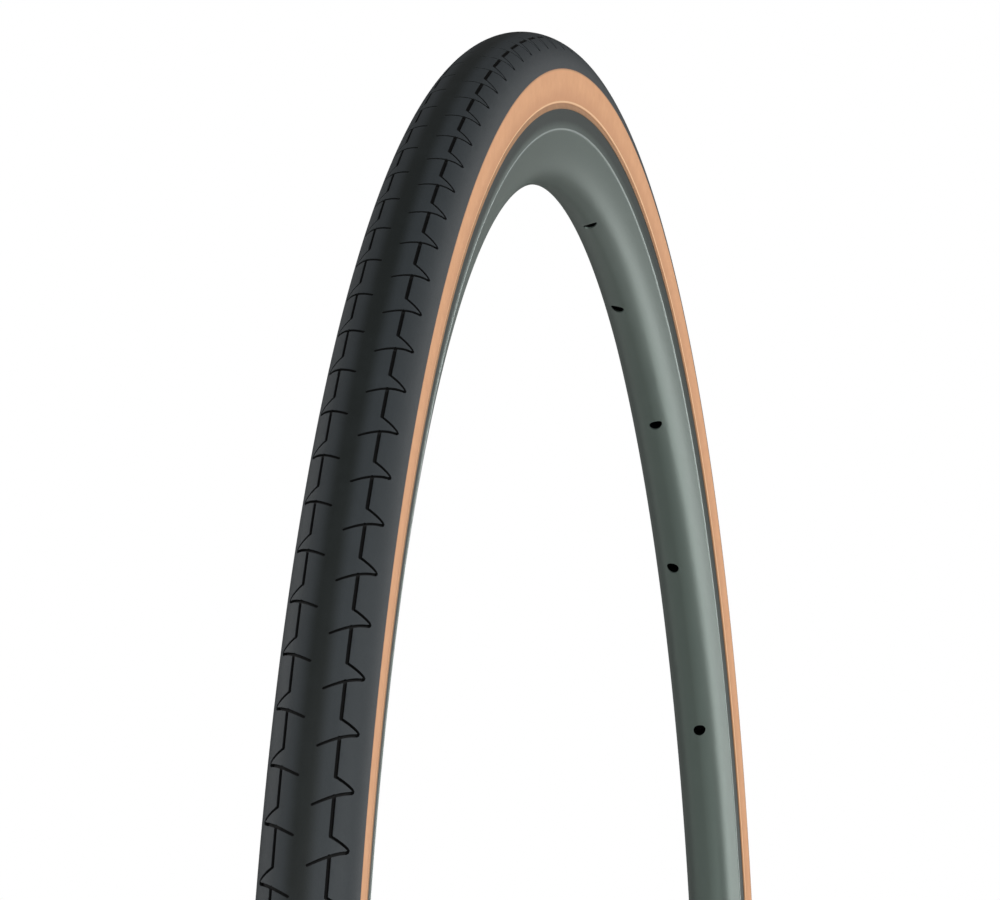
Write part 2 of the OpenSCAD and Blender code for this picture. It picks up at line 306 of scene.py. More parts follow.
@dataclass(frozen=True)
class TanCotton:
    """Skinwall cotton under clear rubber: crossed cords, painted highlight on the moulded ring,
    painted shade towards the foot and painted shadow under the tread's edge.
    """

    edge_radius: float
    top_radius: float
    cords: int = 2400
    base: Colour = linear(226, 171, 126)
    # a darker tone for the clouding and the cords, and the painted shade towards the foot
    shade: Colour = linear(190, 136, 98)
    # painted highlight: the light that the raised moulded ring catches
    ring_highlight: Colour = linear(240, 200, 156)
    # painted shadow under the tread's edge
    tread_edge_shadow: Colour = linear(120, 88, 66)

    def material(self) -> Material:
        """Builds the finish."""
        sheet = NodeSheet("tan_cotton")
        at = sheet.place()
        height = self.top_radius - self.edge_radius
        level = (at["r"] - self.edge_radius) / height
        lean = level * (height / self.edge_radius * self.cords)
        left = (at["turn"] * self.cords + lean).wave()
        right = (at["turn"] * self.cords - lean).wave()
        weave = sheet.math("MAXIMUM", left, right)
        cloud = sheet.noise(120.0, 5.0)
        streak = sheet.noise(420.0, 3.0)
        colour = sheet.mix(cloud * 0.5 + streak * 0.3, self.base, self.shade)
        # painted shade: the skin darker towards the foot, as if shaded from below
        colour = sheet.mix(level.rise(0.6, 0.08) * 0.55, colour, self.shade)
        # painted highlight: a light band on the moulded ring
        colour = sheet.mix(level.band(0.025, 0.055, 0.02) * 0.8, colour, self.ring_highlight)
        # painted shadow: the skin darker where the tread's edge overhangs it
        colour = sheet.mix(level.rise(0.93, 1.0) * 0.5, colour, self.tread_edge_shadow)
        colour = sheet.mix(weave * 0.10, colour, self.shade)
        return sheet.surface(
            Base_Color=colour, Roughness=0.6 + streak * 0.15, Specular_IOR_Level=0.35,
            Normal=sheet.bump(weave * 0.6 + streak * 0.4, 0.04 * MM, 0.5))


@dataclass(frozen=True)
class ChaferCloth:
    """Brown rubberised strip where the tyre meets the rim."""

    base: Colour = linear(172, 128, 90)
    dark: Colour = linear(140, 103, 72)
    ribs: float = 1800.0

    def material(self) -> Material:
        """Builds the finish."""
        sheet = NodeSheet("chafer_cloth")
        at = sheet.place()
        rib = (at["turn"] * self.ribs).wave()
        cloud = sheet.noise(260.0, 4.0)
        colour = sheet.mix(cloud, self.base, self.dark)
        return sheet.surface(
            Base_Color=colour, Roughness=0.66 + cloud * 0.15,
            Normal=sheet.bump(rib * 0.5 + cloud * 0.5, 0.04 * MM, 0.6))


@dataclass(frozen=True)
class DarkAnodise:
    """Dark grey-green hard anodising: turned braking track, satin body, with painted highlight along
    the ridge and painted shade in the holes and the hollow.
    """

    ridge_radius: float
    track_side: float
    bed_radius: float
    body: Colour = linear(100, 112, 106)
    cloudy: Colour = linear(88, 100, 96)
    # painted shade: near black inside the spoke holes and the rim's hollow
    inside: Colour = linear(6, 8, 7)
    track: Colour = linear(36, 47, 43)
    # painted highlight: near white for the line along the ridge
    ridge: Colour = linear(222, 232, 230)
    bed_curve: float = 114.0
    lathe_pitch: float = 0.32 * MM

    def material(self) -> Material:
        """Builds the finish."""
        sheet = NodeSheet("dark_anodise")
        at = sheet.place()
        outer = at["side"].rise(self.track_side - 0.7 * MM, self.track_side - 0.3 * MM)
        track = at["r"].rise(self.ridge_radius + 0.35 * MM, self.ridge_radius + 0.6 * MM) * outer
        # painted highlight mask: a narrow band on the ridge below the track
        ridge = at["r"].band(self.ridge_radius - 0.15 * MM, self.ridge_radius + 0.35 * MM,
                             0.25 * MM) * outer
        # painted shade mask: deeper than the spoke bed's face near the middle, so the holes' walls
        # and the hollow
        bore = at["r"] - self.bed_radius - at["y"] * at["y"] * self.bed_curve
        bore = bore.rise(0.3 * MM, 0.5 * MM) * at["side"].rise(4.3 * MM, 4.0 * MM)
        cloud = sheet.noise(60.0, 4.0)
        fine = sheet.noise(1800.0, 2.0)
        turned = (at["r"] * (math.tau / self.lathe_pitch)).wave()
        colour = sheet.mix(cloud * 0.35, self.body, self.cloudy)
        colour = sheet.mix(track, colour, self.track)
        # painted highlight along the ridge
        colour = sheet.mix(ridge * 0.8, colour, self.ridge)
        # painted shade inside the holes and the hollow
        colour = sheet.mix(bore, colour, self.inside)
        return sheet.surface(
            Base_Color=colour, Metallic=0.72, Roughness=0.33 + fine * 0.08 + track * 0.08,
            Normal=sheet.bump(turned * track * 0.7 + fine * 0.3, 0.012 * MM, 0.6))


@dataclass(frozen=True)
class Metal:
    """Turned metal with fine lathe marks along Z."""

    name: str
    colour: Colour
    dull: Colour
    roughness: float = 0.26
    pitch: float = 0.18 * MM

    def material(self) -> Material:
        """Builds the finish."""
        sheet = NodeSheet(self.name)
        at = sheet.place()
        cloud = sheet.noise(700.0, 4.0)
        ring = (at["z"] * (math.tau / self.pitch)).wave()
        colour = sheet.mix(cloud * 0.6, self.colour, self.dull)
        return sheet.surface(
            Base_Color=colour, Metallic=1.0, Roughness=self.roughness + cloud * 0.15,
            Normal=sheet.bump(ring * 0.5 + cloud * 0.5, 0.006 * MM, 0.5))


@dataclass(frozen=True)
class Moulded:
    """Rubber, plastic or felted cloth with a grain."""

    name: str
    colour: Colour
    other: Colour
    roughness: float = 0.55
    grain: float = 1400.0
    depth: float = 0.03 * MM

    def material(self) -> Material:
        """Builds the finish."""
        sheet = NodeSheet(self.name)
        cloud = sheet.noise(self.grain / 8, 4.0)
        fine = sheet.noise(self.grain, 3.0)
        return sheet.surface(
            Base_Color=sheet.mix(cloud, self.colour, self.other),
            Roughness=self.roughness + fine * 0.15,
            Normal=sheet.bump(fine, self.depth, 0.5))


@dataclass(frozen=True)
class CordCloth:
    """Parallel cords in rubber, running across the wheel at an angle."""

    name: str
    colour: Colour
    other: Colour
    cords: int = 1500
    lean: float = 3000.0

    def material(self) -> Material:
        """Builds the finish."""
        sheet = NodeSheet(self.name)
        at = sheet.place()
        cord = (at["turn"] * self.cords + at["y"] * self.lean).wave()
        cloud = sheet.noise(200.0, 4.0)
        return sheet.surface(
            Base_Color=sheet.mix(cord * 0.6 + cloud * 0.3, self.colour, self.other),
            Roughness=0.7 + cloud * 0.1, Normal=sheet.bump(cord, 0.06 * MM, 0.7))


class MeshShop:
    """Turns vertices and faces into smooth, closed objects."""

    sharp_angle: float = math.radians(38)

    @staticmethod
    def bare(name: str, verts: list, faces: list, weld: float = 0.0) -> Piece:
        """Makes one object without a finish.

        Args:
            name: the object's name.
            verts: its points, in metres.
            faces: its faces, as vertex numbers.
            weld: distance under which points are joined, or 0.

        Returns:
            The object, not yet linked to the scene.
        """
        mesh = bpy.data.meshes.new(name)
        mesh.from_pydata(verts, [], faces)
        work = bmesh.new()
        work.from_mesh(mesh)
        if weld:
            bmesh.ops.remove_doubles(work, verts=work.verts, dist=weld)
        bmesh.ops.recalc_face_normals(work, faces=work.faces)
        work.to_mesh(mesh)
        work.free()
        return bpy.data.objects.new(name, mesh)

    @classmethod
    def piece(cls, name: str, verts: list, faces: list, material: Material,
              weld: float = 0.0) -> Piece:
        """Makes one object with its finish, linked to the scene."""
        return cls.dress(cls.bare(name, verts, faces, weld), material)

    @classmethod
    def dress(cls, piece: Piece, material: Material) -> Piece:
        """Links a new object, shades it smooth with sharp edges, and gives it a finish."""
        if piece.name not in bpy.context.scene.collection.objects:
            bpy.context.scene.collection.objects.link(piece)
        mesh = piece.data
        mesh.materials.clear()
        mesh.materials.append(material)
        mesh.shade_smooth()
        mesh.set_sharp_from_angle(angle=cls.sharp_angle)
        return piece

    @staticmethod
    def hoop(section: list[Point2], steps: int) -> tuple[list, list]:
        """Turns a closed section about the axle.

        Args:
            section: points as distance from the axle and Y.
            steps: positions round the wheel.

        Returns:
            The vertices and faces.
        """
        verts = [(r * math.cos(a), y, r * math.sin(a))
                 for a in (math.tau * i / steps for i in range(steps)) for r, y in section]
        return verts, MeshShop.quads(len(section), steps)

    @staticmethod
    def quads(count: int, steps: int) -> list[tuple]:
        """The faces that join a closed row of steps rings of count points each."""
        return [(i * count + j, i * count + (j + 1) % count,
                 ((i + 1) % steps) * count + (j + 1) % count, ((i + 1) % steps) * count + j)
                for i in range(steps) for j in range(count)]

    @staticmethod
    def turned(outline: list[Point2], steps: int,
               shape: Callable[[float, float, float], float] | None = None) -> tuple[list, list]:
        """Turns a closed outline about Z.

        Args:
            outline: points as radius and Z.
            steps: positions round the axis.
            shape: optional; gives the radius from the radius, Z and the angle.

        Returns:
            The vertices and faces.
        """
        verts = []
        for i in range(steps):
            angle = math.tau * i / steps
            for radius, z in outline:
                reach = shape(radius, z, angle) if shape else radius
                verts.append((reach * math.cos(angle), reach * math.sin(angle), z))
        return verts, MeshShop.quads(len(outline), steps)


def spread(low: float, high: float, count: int) -> list[float]:
    """Count + 1 even steps from low to high."""
    return [low + (high - low) * i / count for i in range(count + 1)]


def stroke(points: list[Point2], widths: list[float], cap_steps: int = 5) -> list[Point2]:
    """The outline of a line of changing width with round ends.

    Args:
        points: the line's points.
        widths: its width at each point.
        cap_steps: steps round each end.

    Returns:
        The closed outline.
    """
    lines = [Vector(p) for p in points]
    left, right = [], []
    for i, spot in enumerate(lines):
        before = lines[max(i - 1, 0)]
        after = lines[min(i + 1, len(lines) - 1)]
        along = (after - before).normalized()
        across = Vector((-along.y, along.x)) * widths[i] / 2
        left.append(spot + across)
        right.append(spot - across)
    outline = list(left)
    outline += round_end(lines[-1], left[-1], cap_steps)
    outline += reversed(right)
    outline += round_end(lines[0], right[0], cap_steps)
    return [tuple(p) for p in outline]


def round_end(centre: Vector, start: Vector, steps: int) -> list[Vector]:
    """The points strictly inside the clockwise half circle from start about centre."""
    arm = start - centre
    turns = spread(0, math.pi, steps)[1:-1]
    return [centre + Vector((arm.x * math.cos(t) + arm.y * math.sin(t),
                             arm.y * math.cos(t) - arm.x * math.sin(t))) for t in turns]


def smooth_line(points: list[Point2], steps: int) -> list[Point2]:
    """A curve through the points, with steps between each two of them."""
    ends = [points[0], *points, points[-1]]
    line = []
    for a, b, c, d in zip(ends, ends[1:], ends[2:], ends[3:]):
        for i in range(steps):
            t = i / steps
            line.append(tuple(
                0.5 * (2 * q + (s - p) * t + (2 * p - 5 * q + 4 * s - u) * t * t
                       + (3 * q - p - 3 * s + u) * t ** 3)
                for p, q, s, u in zip(a, b, c, d)))
    return [*line, points[-1]]


def inside(spot: Vector, outline: list[Point2]) -> bool:
    """Whether a point lies inside a closed outline."""
    x, y = spot
    hit = False
    for (x1, y1), (x2, y2) in zip(outline, outline[1:] + outline[:1]):
        if (y1 > y) != (y2 > y) and x < (x2 - x1) * (y - y1) / (y2 - y1) + x1:
            hit = not hit
    return hit


@dataclass
class Tread:
    """The tread cap: a crowned band with two staggered rows of cut grooves.

    The points of a groove (blade, corner, kink, rail_end) are mm along the tread and mm to
    the side of its middle. The rail runs from the kink to rail_end in the next repeat.
    """

    crown_radius: float
    half_width: float
    edge_radius: float
    casing_rise: float
    casing_half: float
    repeats: int = 163
    depth: float = 0.85 * MM
    columns: int = 4
    rows: int = 40
    line_width: float = 0.86 * MM
    thin_width: float = 0.72 * MM
    inner_share: float = 0.72
    outer_share: float = 0.86
    phase: float = math.radians(0.672)
    blade: tuple = ((0.55, 1.75), (1.75, 3.8), (2.9, 5.7), (3.95, 7.5), (4.6, 8.65))
    corner: tuple = ((4.7, 8.72), (5.5, 8.78))
    kink: tuple = (7.2, 5.75)
    rail_end: tuple = (3.0, 5.8)
    line_steps: int = 4

    def __post_init__(self) -> None:
        """Works out the section's circle and the pattern's pitch."""
        self.rise = self.half_width
        self.middle = self.crown_radius - self.rise
        self.pitch = math.tau / self.repeats * self.crown_radius
        self.edge_lean = math.acos((self.edge_radius - self.middle) / self.rise)

    def lean(self, y: float) -> float:
        """Distance round the section from the crown, for a distance to the side."""
        return math.asin(y / self.half_width) * self.rise

    def flat(self, point: Point2) -> Point2:
        """A groove's point in metres on the unrolled tread."""
        return point[0] * MM, self.lean(point[1] * MM)

    def cuts(self, row: Side) -> list[list[Point2]]:
        """The grooves of one row in one repeat, as distances along and across the tread."""
        blade = smooth_line([self.flat(p) for p in self.blade], self.line_steps)
        growth = self.outer_share - self.inner_share
        blade_widths = [self.line_width * (self.inner_share + growth * i / (len(blade) - 1))
                        for i in range(len(blade))]
        kink = self.flat(self.kink)
        back = smooth_line([self.flat(p) for p in self.corner] + [kink], self.line_steps)
        end_along, end_side = self.flat(self.rail_end)
        outlines = [stroke(blade, blade_widths),
                    stroke(back, [self.thin_width] * len(back)),
                    stroke([kink, (end_along + self.pitch, end_side)], [self.line_width] * 2)]
        shift = 0.0 if row is Side.RIGHT else self.pitch / 2
        return [[(a + shift, b * row.value) for a, b in line] for line in outlines]

    def cell(self) -> tuple[list[Vector], list[list[int]], list[bool]]:
        """Meshes one flat repeat of the pattern.

        Returns:
            Its points, its faces, and for each face whether it is a groove's floor.
        """
        across = self.edge_lean * self.rise
        low = -self.pitch * 0.5
        points = [Vector((a, b)) for a in spread(low, low + self.pitch, self.columns)
                  for b in spread(-across, across, self.rows)]
        edges = []
        row = self.rows + 1
        for i in range(self.columns):
            edges += [(i * row, (i + 1) * row), (i * row + self.rows, (i + 1) * row + self.rows)]
        for i in range(self.rows):
            edges += [(i, i + 1), (self.columns * row + i, self.columns * row + i + 1)]
        outlines = []
        for side in Side:
            for repeat in (-2, -1, 0, 1):
                for line in self.cuts(side):
                    outlines.append([(a + repeat * self.pitch, b) for a, b in line])
        high = low + self.pitch
        outlines = [o for o in outlines if max(a for a, _ in o) > low - MM
                    and min(a for a, _ in o) < high + MM]
        for line in outlines:
            first = len(points)
            points += [Vector(p) for p in line]
            edges += [(first + i, first + (i + 1) % len(line)) for i in range(len(line))]
        spots, _, faces, *_ = delaunay_2d_cdt(points, edges, [], 0, 1e-7)
        kept, floor = [], []
        for face in faces:
            centre = sum((spots[v] for v in face), Vector((0, 0))) / len(face)
            if low < centre.x < high and abs(centre.y) < across:
                kept.append(list(face))
                floor.append(any(inside(centre, line) for line in outlines))
        return spots, kept, floor

    def spot(self, along: float, across: float, sunk: float) -> Vector:
        """A point of the tread in the wheel's frame."""
        lean = across / self.rise
        reach = self.rise - sunk
        radius = self.middle + reach * math.cos(lean)
        angle = self.phase - along / self.crown_radius
        return Vector((radius * math.cos(angle), reach * math.sin(lean), radius * math.sin(angle)))

    def build(self, material: Material) -> Piece:
        """Builds the whole band with its grooves and its underside.

        Args:
            material: the tread's finish.

        Returns:
            The tread's object.
        """
        spots, faces, floor = self.cell()
        verts: list[Vector] = []
        cell_faces: list[list[int]] = []
        number: dict[tuple[int, bool], int] = {}

        def vertex(i: int, low: bool) -> int:
            """The number of a point on the surface or on a groove's floor."""
            if (i, low) not in number:
                number[i, low] = len(verts)
                verts.append(self.spot(spots[i].x, spots[i].y, self.depth if low else 0.0))
            return number[i, low]

        owner: dict[tuple[int, int], bool] = {}
        for face, low in zip(faces, floor):
            cell_faces.append([vertex(i, low) for i in face])
            for a, b in zip(face, face[1:] + face[:1]):
                owner[a, b] = low
        for (a, b), low in owner.items():
            if low and owner.get((b, a), True) is False:
                cell_faces.append([vertex(a, True), vertex(b, True), vertex(b, False),
                                   vertex(a, False)])
        cell_faces += self.underside(verts)
        every_vert, every_face = [], []
        for k in range(self.repeats):
            turn = Matrix.Rotation(-math.tau * k / self.repeats, 3, "Y")
            start = len(every_vert)
            every_vert += [turn @ v for v in verts]
            every_face += [[start + i for i in f] for f in cell_faces]
        return MeshShop.piece("tread_rubber_band", every_vert, every_face, material, 1e-6)

    def underside(self, verts: list[Vector]) -> list[list[int]]:
        """Adds the strip's edges and inner face for one repeat to verts and returns the faces."""
        across = self.edge_lean * self.rise
        edge_angle = math.acos((self.edge_radius - self.middle) / self.casing_rise)
        inner = [(self.middle + self.casing_rise * math.cos(t), self.casing_half * math.sin(t))
                 for t in spread(-edge_angle, edge_angle, 16)]
        rings = []
        for along in spread(-self.pitch / 2, self.pitch / 2, self.columns):
            angle = self.phase - along / self.crown_radius
            ring = [self.spot(along, -across, 0.0)]
            ring += [Vector((r * math.cos(angle), y, r * math.sin(angle))) for r, y in inner]
            ring.append(self.spot(along, across, 0.0))
            rings.append(range(len(verts), len(verts) + len(ring)))
            verts += ring
        return [[a[i], a[i + 1], b[i + 1], b[i]]
                for a, b in zip(rings, rings[1:]) for i in range(len(a) - 1)]


@dataclass
class Sidewalls:
    """The tan skins and the brown chafers that show between tread and rim."""

    half_width: float
    middle: float
    tread_edge: float
    chafer_top: float
    rim_edge: float
    edge_half: float
    skin: float = 0.5 * MM
    ring_up: float = 0.4 * MM
    ring_half: float = 0.45 * MM
    ring_height: float = 0.14 * MM
    lap: float = 0.9 * MM
    bulge: float = 1.21
    steps: int = 624

    def __post_init__(self) -> None:
        """Works out the lower curve of the section."""
        ratio = self.edge_half / self.half_width
        self.drop = (self.middle - self.rim_edge) / math.sqrt(1 - ratio * ratio)

    def outer(self, radius: float) -> Point2:
        """The outer surface at a distance from the axle."""
        if radius >= self.middle:
            lift = (radius - self.middle) / self.half_width * self.bulge
        else:
            lift = (self.middle - radius) / self.drop
        return radius, self.half_width * math.sqrt(1 - lift * lift)

    def wall(self) -> list[Point2]:
        """The skin's section: outer face with its fine moulded ring, then inner face."""
        face = []
        for radius in spread(self.chafer_top, self.tread_edge, 48):
            r, y = self.outer(radius)
            off_ring = (radius - self.chafer_top - self.ring_up) / self.ring_half
            face.append((r, y + self.ring_height * max(0.0, 1 - off_ring ** 2)))
        back = [(r, self.outer(r)[1] - self.skin)
                for r in spread(self.tread_edge, self.chafer_top, 20)]
        return face + back

    def strip(self) -> list[Point2]:
        """The chafer's section where it leaves the rim."""
        out = self.outer(self.chafer_top)[1] - 0.08 * MM
        foot, edge = self.rim_edge - self.lap, self.edge_half
        face = [(foot, edge + 0.02 * MM), (foot + 0.05 * MM, edge + 0.12 * MM),
                (foot + 0.3 * MM, edge + 0.24 * MM), (foot + 0.9 * MM, out - 0.02 * MM),
                (self.chafer_top, out)]
        back = [(self.chafer_top, out - 0.35 * MM), (self.rim_edge + 0.1 * MM, edge - 0.4 * MM),
                (self.rim_edge + 0.05 * MM, edge - 0.2 * MM),
                (self.rim_edge - 0.3 * MM, edge + 0.01 * MM)]
        return face + back

    def build(self, tan: Material,
              cloth: Material) -> Iterable[tuple[Side, Piece, str]]:
        """Builds both sides.

        Args:
            tan: finish of the skins.
            cloth: finish of the chafers.

        Yields:
            The side, the piece, and the kind of node it stands for.
        """
        for side in Side:
            for kind, section, finish in (("sidewall", self.wall(), tan),
                                          ("chafer", self.strip(), cloth)):
                shape = [(r, y * side.value) for r, y in section]
                verts, faces = MeshShop.hoop(shape, self.steps)
                name = f"{kind}_{side.name.lower()}_skin"
                yield side, MeshShop.piece(name, verts, faces, finish), kind


@dataclass
class Rim:
    """The double-wall rim, with its turned track, ridge, and drilled spoke bed.

    ridge_shape is the ridge's outline, in mm out from its radius and mm out from the track.
    """

    edge: float
    half: float
    bed: float
    well_half: float
    angles: list[float]
    offsets: list[float]
    hole: float
    access: float
    valve_hole: float
    draft: float = 0.6 * MM
    bed_wall: float = 1.8 * MM
    flange: float = 1.9 * MM
    hook: float = 2.5 * MM
    inner_lip: float = 0.3 * MM
    outer_lip: float = 0.35 * MM
    waist_up: float = 8.4 * MM
    bed_cut: tuple = (-1.5 * MM, 4.5 * MM)
    well_cut: tuple = (-2.2 * MM, 1.2 * MM)
    ridge_shape: tuple = ((0.62, 0.0), (0.5, 0.07), (0.3, 0.12), (0.1, 0.1), (-0.06, 0.02),
                          (-0.2, -0.1))
    steps: int = 504

    def __post_init__(self) -> None:
        """Works out the heights of the section."""
        self.seat = self.edge - 6.0 * MM
        self.ridge = self.edge - 6.5 * MM
        self.well = self.seat - 2.4 * MM

    def skin(self) -> list[Point2]:
        """Half of the outer outline, from the well out and down to the spoke bed."""
        mm, edge, half = MM, self.edge, self.half
        points = [(self.well, self.well_half), (self.seat, self.well_half + 0.9 * mm),
                  (self.seat, half - self.flange),
                  (edge - 1.7 * mm, half - self.flange), (edge - 1.2 * mm, half - self.hook),
                  (edge - self.inner_lip, half - self.hook)]
        for turn in spread(0, 90, 3):
            a = math.radians(turn)
            points.append((edge - self.inner_lip * (1 - math.sin(a)),
                           half - self.hook + self.inner_lip * (1 - math.cos(a))))
        for turn in spread(90, 0, 4):
            a = math.radians(turn)
            points.append((edge - self.outer_lip * (1 - math.sin(a)),
                           half - self.outer_lip * (1 - math.cos(a))))
        track = half - self.draft
        points += [(edge - 2 * mm, half - self.draft * 0.25),
                   (edge - 4 * mm, half - self.draft * 0.6)]
        points += [(self.ridge + up * mm, track + out * mm) for up, out in self.ridge_shape]
        return points + self.body((self.ridge - 0.5 * mm, track - 0.17 * mm),
                                  (self.bed + self.waist_up, track - 1.4 * mm),
                                  (self.bed, 5.5 * mm), 36)

    def body(self, top: Point2, waist: Point2, belly: Point2, steps: int) -> list[Point2]:
        """A curved side from the ridge, rounding into the middle of the spoke bed."""
        foot = (belly[0], 0.0)
        line = []
        for t in spread(0, 1, steps)[:-1]:
            u = 1 - t
            line.append(tuple(u ** 3 * a + 3 * u * u * t * b + 3 * u * t * t * c + t ** 3 * d
                              for a, b, c, d in zip(top, waist, belly, foot)))
        return line

    def cavity(self) -> list[Point2]:
        """Half of the box section's inner outline."""
        mm = MM
        top = [(self.well - 1.3 * mm, self.well_half + 0.65 * mm),
               (self.seat - 1.4 * mm, self.well_half + 1.55 * mm)]
        return top + self.body((self.seat - 1.4 * mm, self.half - 2.0 * mm),
                               (self.bed + self.waist_up, self.half - 3.4 * mm),
                               (self.bed + self.bed_wall, 3.9 * mm), 12)

    def cutter(self) -> Piece:
        """One mesh of all the drills: for the spoke holes, the access holes and the valve."""
        verts: list = []
        faces: list = []
        bed = [self.bed + reach for reach in self.bed_cut]
        well = [self.well + reach for reach in self.well_cut]
        for angle, offset in zip(self.angles, self.offsets):
            self.drill(verts, faces, self.hole, bed, angle, offset)
            self.drill(verts, faces, self.access, well, angle, 0.0)
        for span in (bed, well):
            self.drill(verts, faces, self.valve_hole, span, -math.pi / 2, 0.0)
        piece = MeshShop.bare("drills", verts, faces, 1e-7)
        bpy.context.scene.collection.objects.link(piece)
        return piece

    @staticmethod
    def drill(verts: list, faces: list, size: float, span: list[float], angle: float,
              offset: float, steps: int = 40) -> None:
        """Adds one round bar to verts and faces.

        Args:
            verts: the list of points to add to.
            faces: the list of faces to add to.
            size: its radius.
            span: how far its two ends are from the axle.
            angle: its angle about the axle.
            offset: its place along Y.
            steps: positions round it.
        """
        low, high = span
        outline = [(0, low), (size, low), (size, high), (0, high)]
        start, count = len(verts), len(outline)
        out = Vector((math.cos(angle), 0, math.sin(angle)))
        side = Vector((-math.sin(angle), 0, math.cos(angle)))
        for i in range(steps):
            a = math.tau * i / steps
            for radius, reach in outline:
                verts.append(out * reach + side * (radius * math.cos(a))
                             + Vector((0, offset + radius * math.sin(a), 0)))
        for i in range(steps):
            j = (i + 1) % steps
            for k in range(count - 1):
                faces.append((start + i * count + k, start + i * count + k + 1,
                              start + j * count + k + 1, start + j * count + k))

    def build(self, material: Material) -> Piece:
        """Builds the drilled rim.

        Args:
            material: its finish.

        Returns:
            The rim's object.
        """
        verts: list = []
        faces: list = []
        for half_section in (self.skin(), self.cavity()):
            section = half_section + [(r, -y) for r, y in reversed(half_section)]
            more, quads = MeshShop.hoop(section, self.steps)
            faces += [[len(verts) + i for i in f] for f in quads]
            verts += more
        piece = MeshShop.piece("rim_shell", verts, faces, material)
        drills = self.cutter()
        cut = piece.modifiers.new("drilling", "BOOLEAN")
        cut.operation = "DIFFERENCE"
        cut.solver = "EXACT"
        cut.object = drills
        graph = bpy.context.evaluated_depsgraph_get()
        mesh = bpy.data.meshes.new_from_object(piece.evaluated_get(graph))
        piece.modifiers.clear()
        piece.data = mesh
        bpy.data.objects.remove(drills)
        return MeshShop.dress(piece, material)


@dataclass
class Valve:
    """The slender valve: threaded stem, knurled rim nut, washer, lock nut and dust cap."""

    tip: float
    base: float
    stem_radius: float
    pitch: float = 0.8 * MM
    thread_depth: float = 0.42 * MM
    foot_radius: float = 2.0 * MM
    foot_height: float = 1.2 * MM
    bore: float = 1.35 * MM

    def thread(self, radius: float, z: float, angle: float) -> float:
        """The stem's radius at a point of its thread; the bore's wall stays as it is."""
        if radius < self.stem_radius * 0.9 or z > self.tip - 0.5 * MM:
            return radius
        phase = (z / self.pitch - angle / math.tau) % 1.0
        return radius - self.thread_depth * abs(2 * phase - 1)

    def stem(self, material: Material) -> Piece:
        """Builds the threaded stem."""
        count = round((self.tip - self.base) / self.pitch * 6)
        shoulder = self.base + self.foot_height
        outline = [(self.foot_radius, self.base), (self.foot_radius, shoulder)]
        outline += [(self.stem_radius, z) for z in spread(shoulder, self.tip, count)]
        outline[-1] = (self.stem_radius - 0.3 * MM, self.tip)
        outline += [(self.bore, self.tip), (self.bore, self.base)]
        verts, faces = MeshShop.turned(outline, 48, self.thread)
        return MeshShop.piece("stem_threaded", verts, faces, material)

    @staticmethod
    def ribbed(count: int, depth: float, outer: float) -> Callable[[float, float, float], float]:
        """A rule that cuts count scallops of a depth into radii near outer."""
        def reach(radius: float, z: float, angle: float) -> float:
            """The radius with its scallops."""
            if radius < outer * 0.86:
                return radius
            return radius - depth * max(0.0, math.cos(angle * count)) ** 2
        return reach

    def nut(self, name: str, box: tuple, hole: float, ribs: int,
            material: Material) -> Piece:
        """Builds a scalloped round nut in the box of its CAD node.

        Args:
            name: the piece's name.
            box: lowest and highest corner.
            hole: radius of its hole.
            ribs: number of scallops.
            material: its finish.

        Returns:
            The nut.
        """
        low, high = box
        outer = high[0]
        bevel = (high[2] - low[2]) * 0.12
        outline = [(hole, low[2]), (outer - bevel, low[2]),
                   (outer - bevel * 0.35, low[2] + bevel * 0.35), (outer, low[2] + bevel)]
        outline += [(outer, z) for z in spread(low[2] + bevel, high[2] - bevel, 4)[1:]]
        outline += [(outer - bevel * 0.35, high[2] - bevel * 0.35), (outer - bevel, high[2]),
                    (hole + bevel * 0.4, high[2]), (hole, high[2] - bevel * 0.4)]
        verts, faces = MeshShop.turned(outline, ribs * 12, self.ribbed(ribs, outer * 0.06, outer))
        return MeshShop.piece(name, verts, faces, material)

    def washer(self, box: tuple, hole: float, material: Material) -> Piece:
        """Builds the rubber washer with rounded rims."""
        low, high = box
        outer, bevel = high[0], 0.2 * MM
        outline = [(hole, low[2]), (outer - bevel, low[2]), (outer, low[2] + bevel),
                   (outer, high[2] - bevel), (outer - bevel, high[2]), (hole, high[2])]
        verts, faces = MeshShop.turned(outline, 64)
        return MeshShop.piece("nut_washer_ring", verts, faces, material)

    def cap(self, box: tuple, material: Material) -> Piece:
        """Builds the ribbed dust cap with its domed end and its bore."""
        low, high = box
        outer = high[0]
        dome = 1.6 * MM
        outline = [(self.stem_radius + 0.05 * MM, low[2]), (outer - 0.2 * MM, low[2]),
                   (outer, low[2] + 0.2 * MM)]
        outline += [(outer, z) for z in spread(low[2] + 0.2 * MM, high[2] - dome, 8)[1:]]
        outline += [(outer - dome * (1 - math.cos(a)), high[2] - dome * (1 - math.sin(a)))
                    for a in spread(0, math.pi / 2, 6)[1:]]
        outline += [(0.0, high[2]), (0.0, high[2] - 1.2 * MM),
                    (self.stem_radius - 0.1 * MM, high[2] - 1.2 * MM),
                    (self.stem_radius - 0.1 * MM, self.tip + 0.3 * MM),
                    (self.stem_radius + 0.05 * MM, self.tip + 0.3 * MM)]
        verts, faces = MeshShop.turned(outline, 120, self.ribbed(10, 0.32 * MM, outer))
        return MeshShop.piece("cap_ribbed", verts, faces, material, 1e-7)


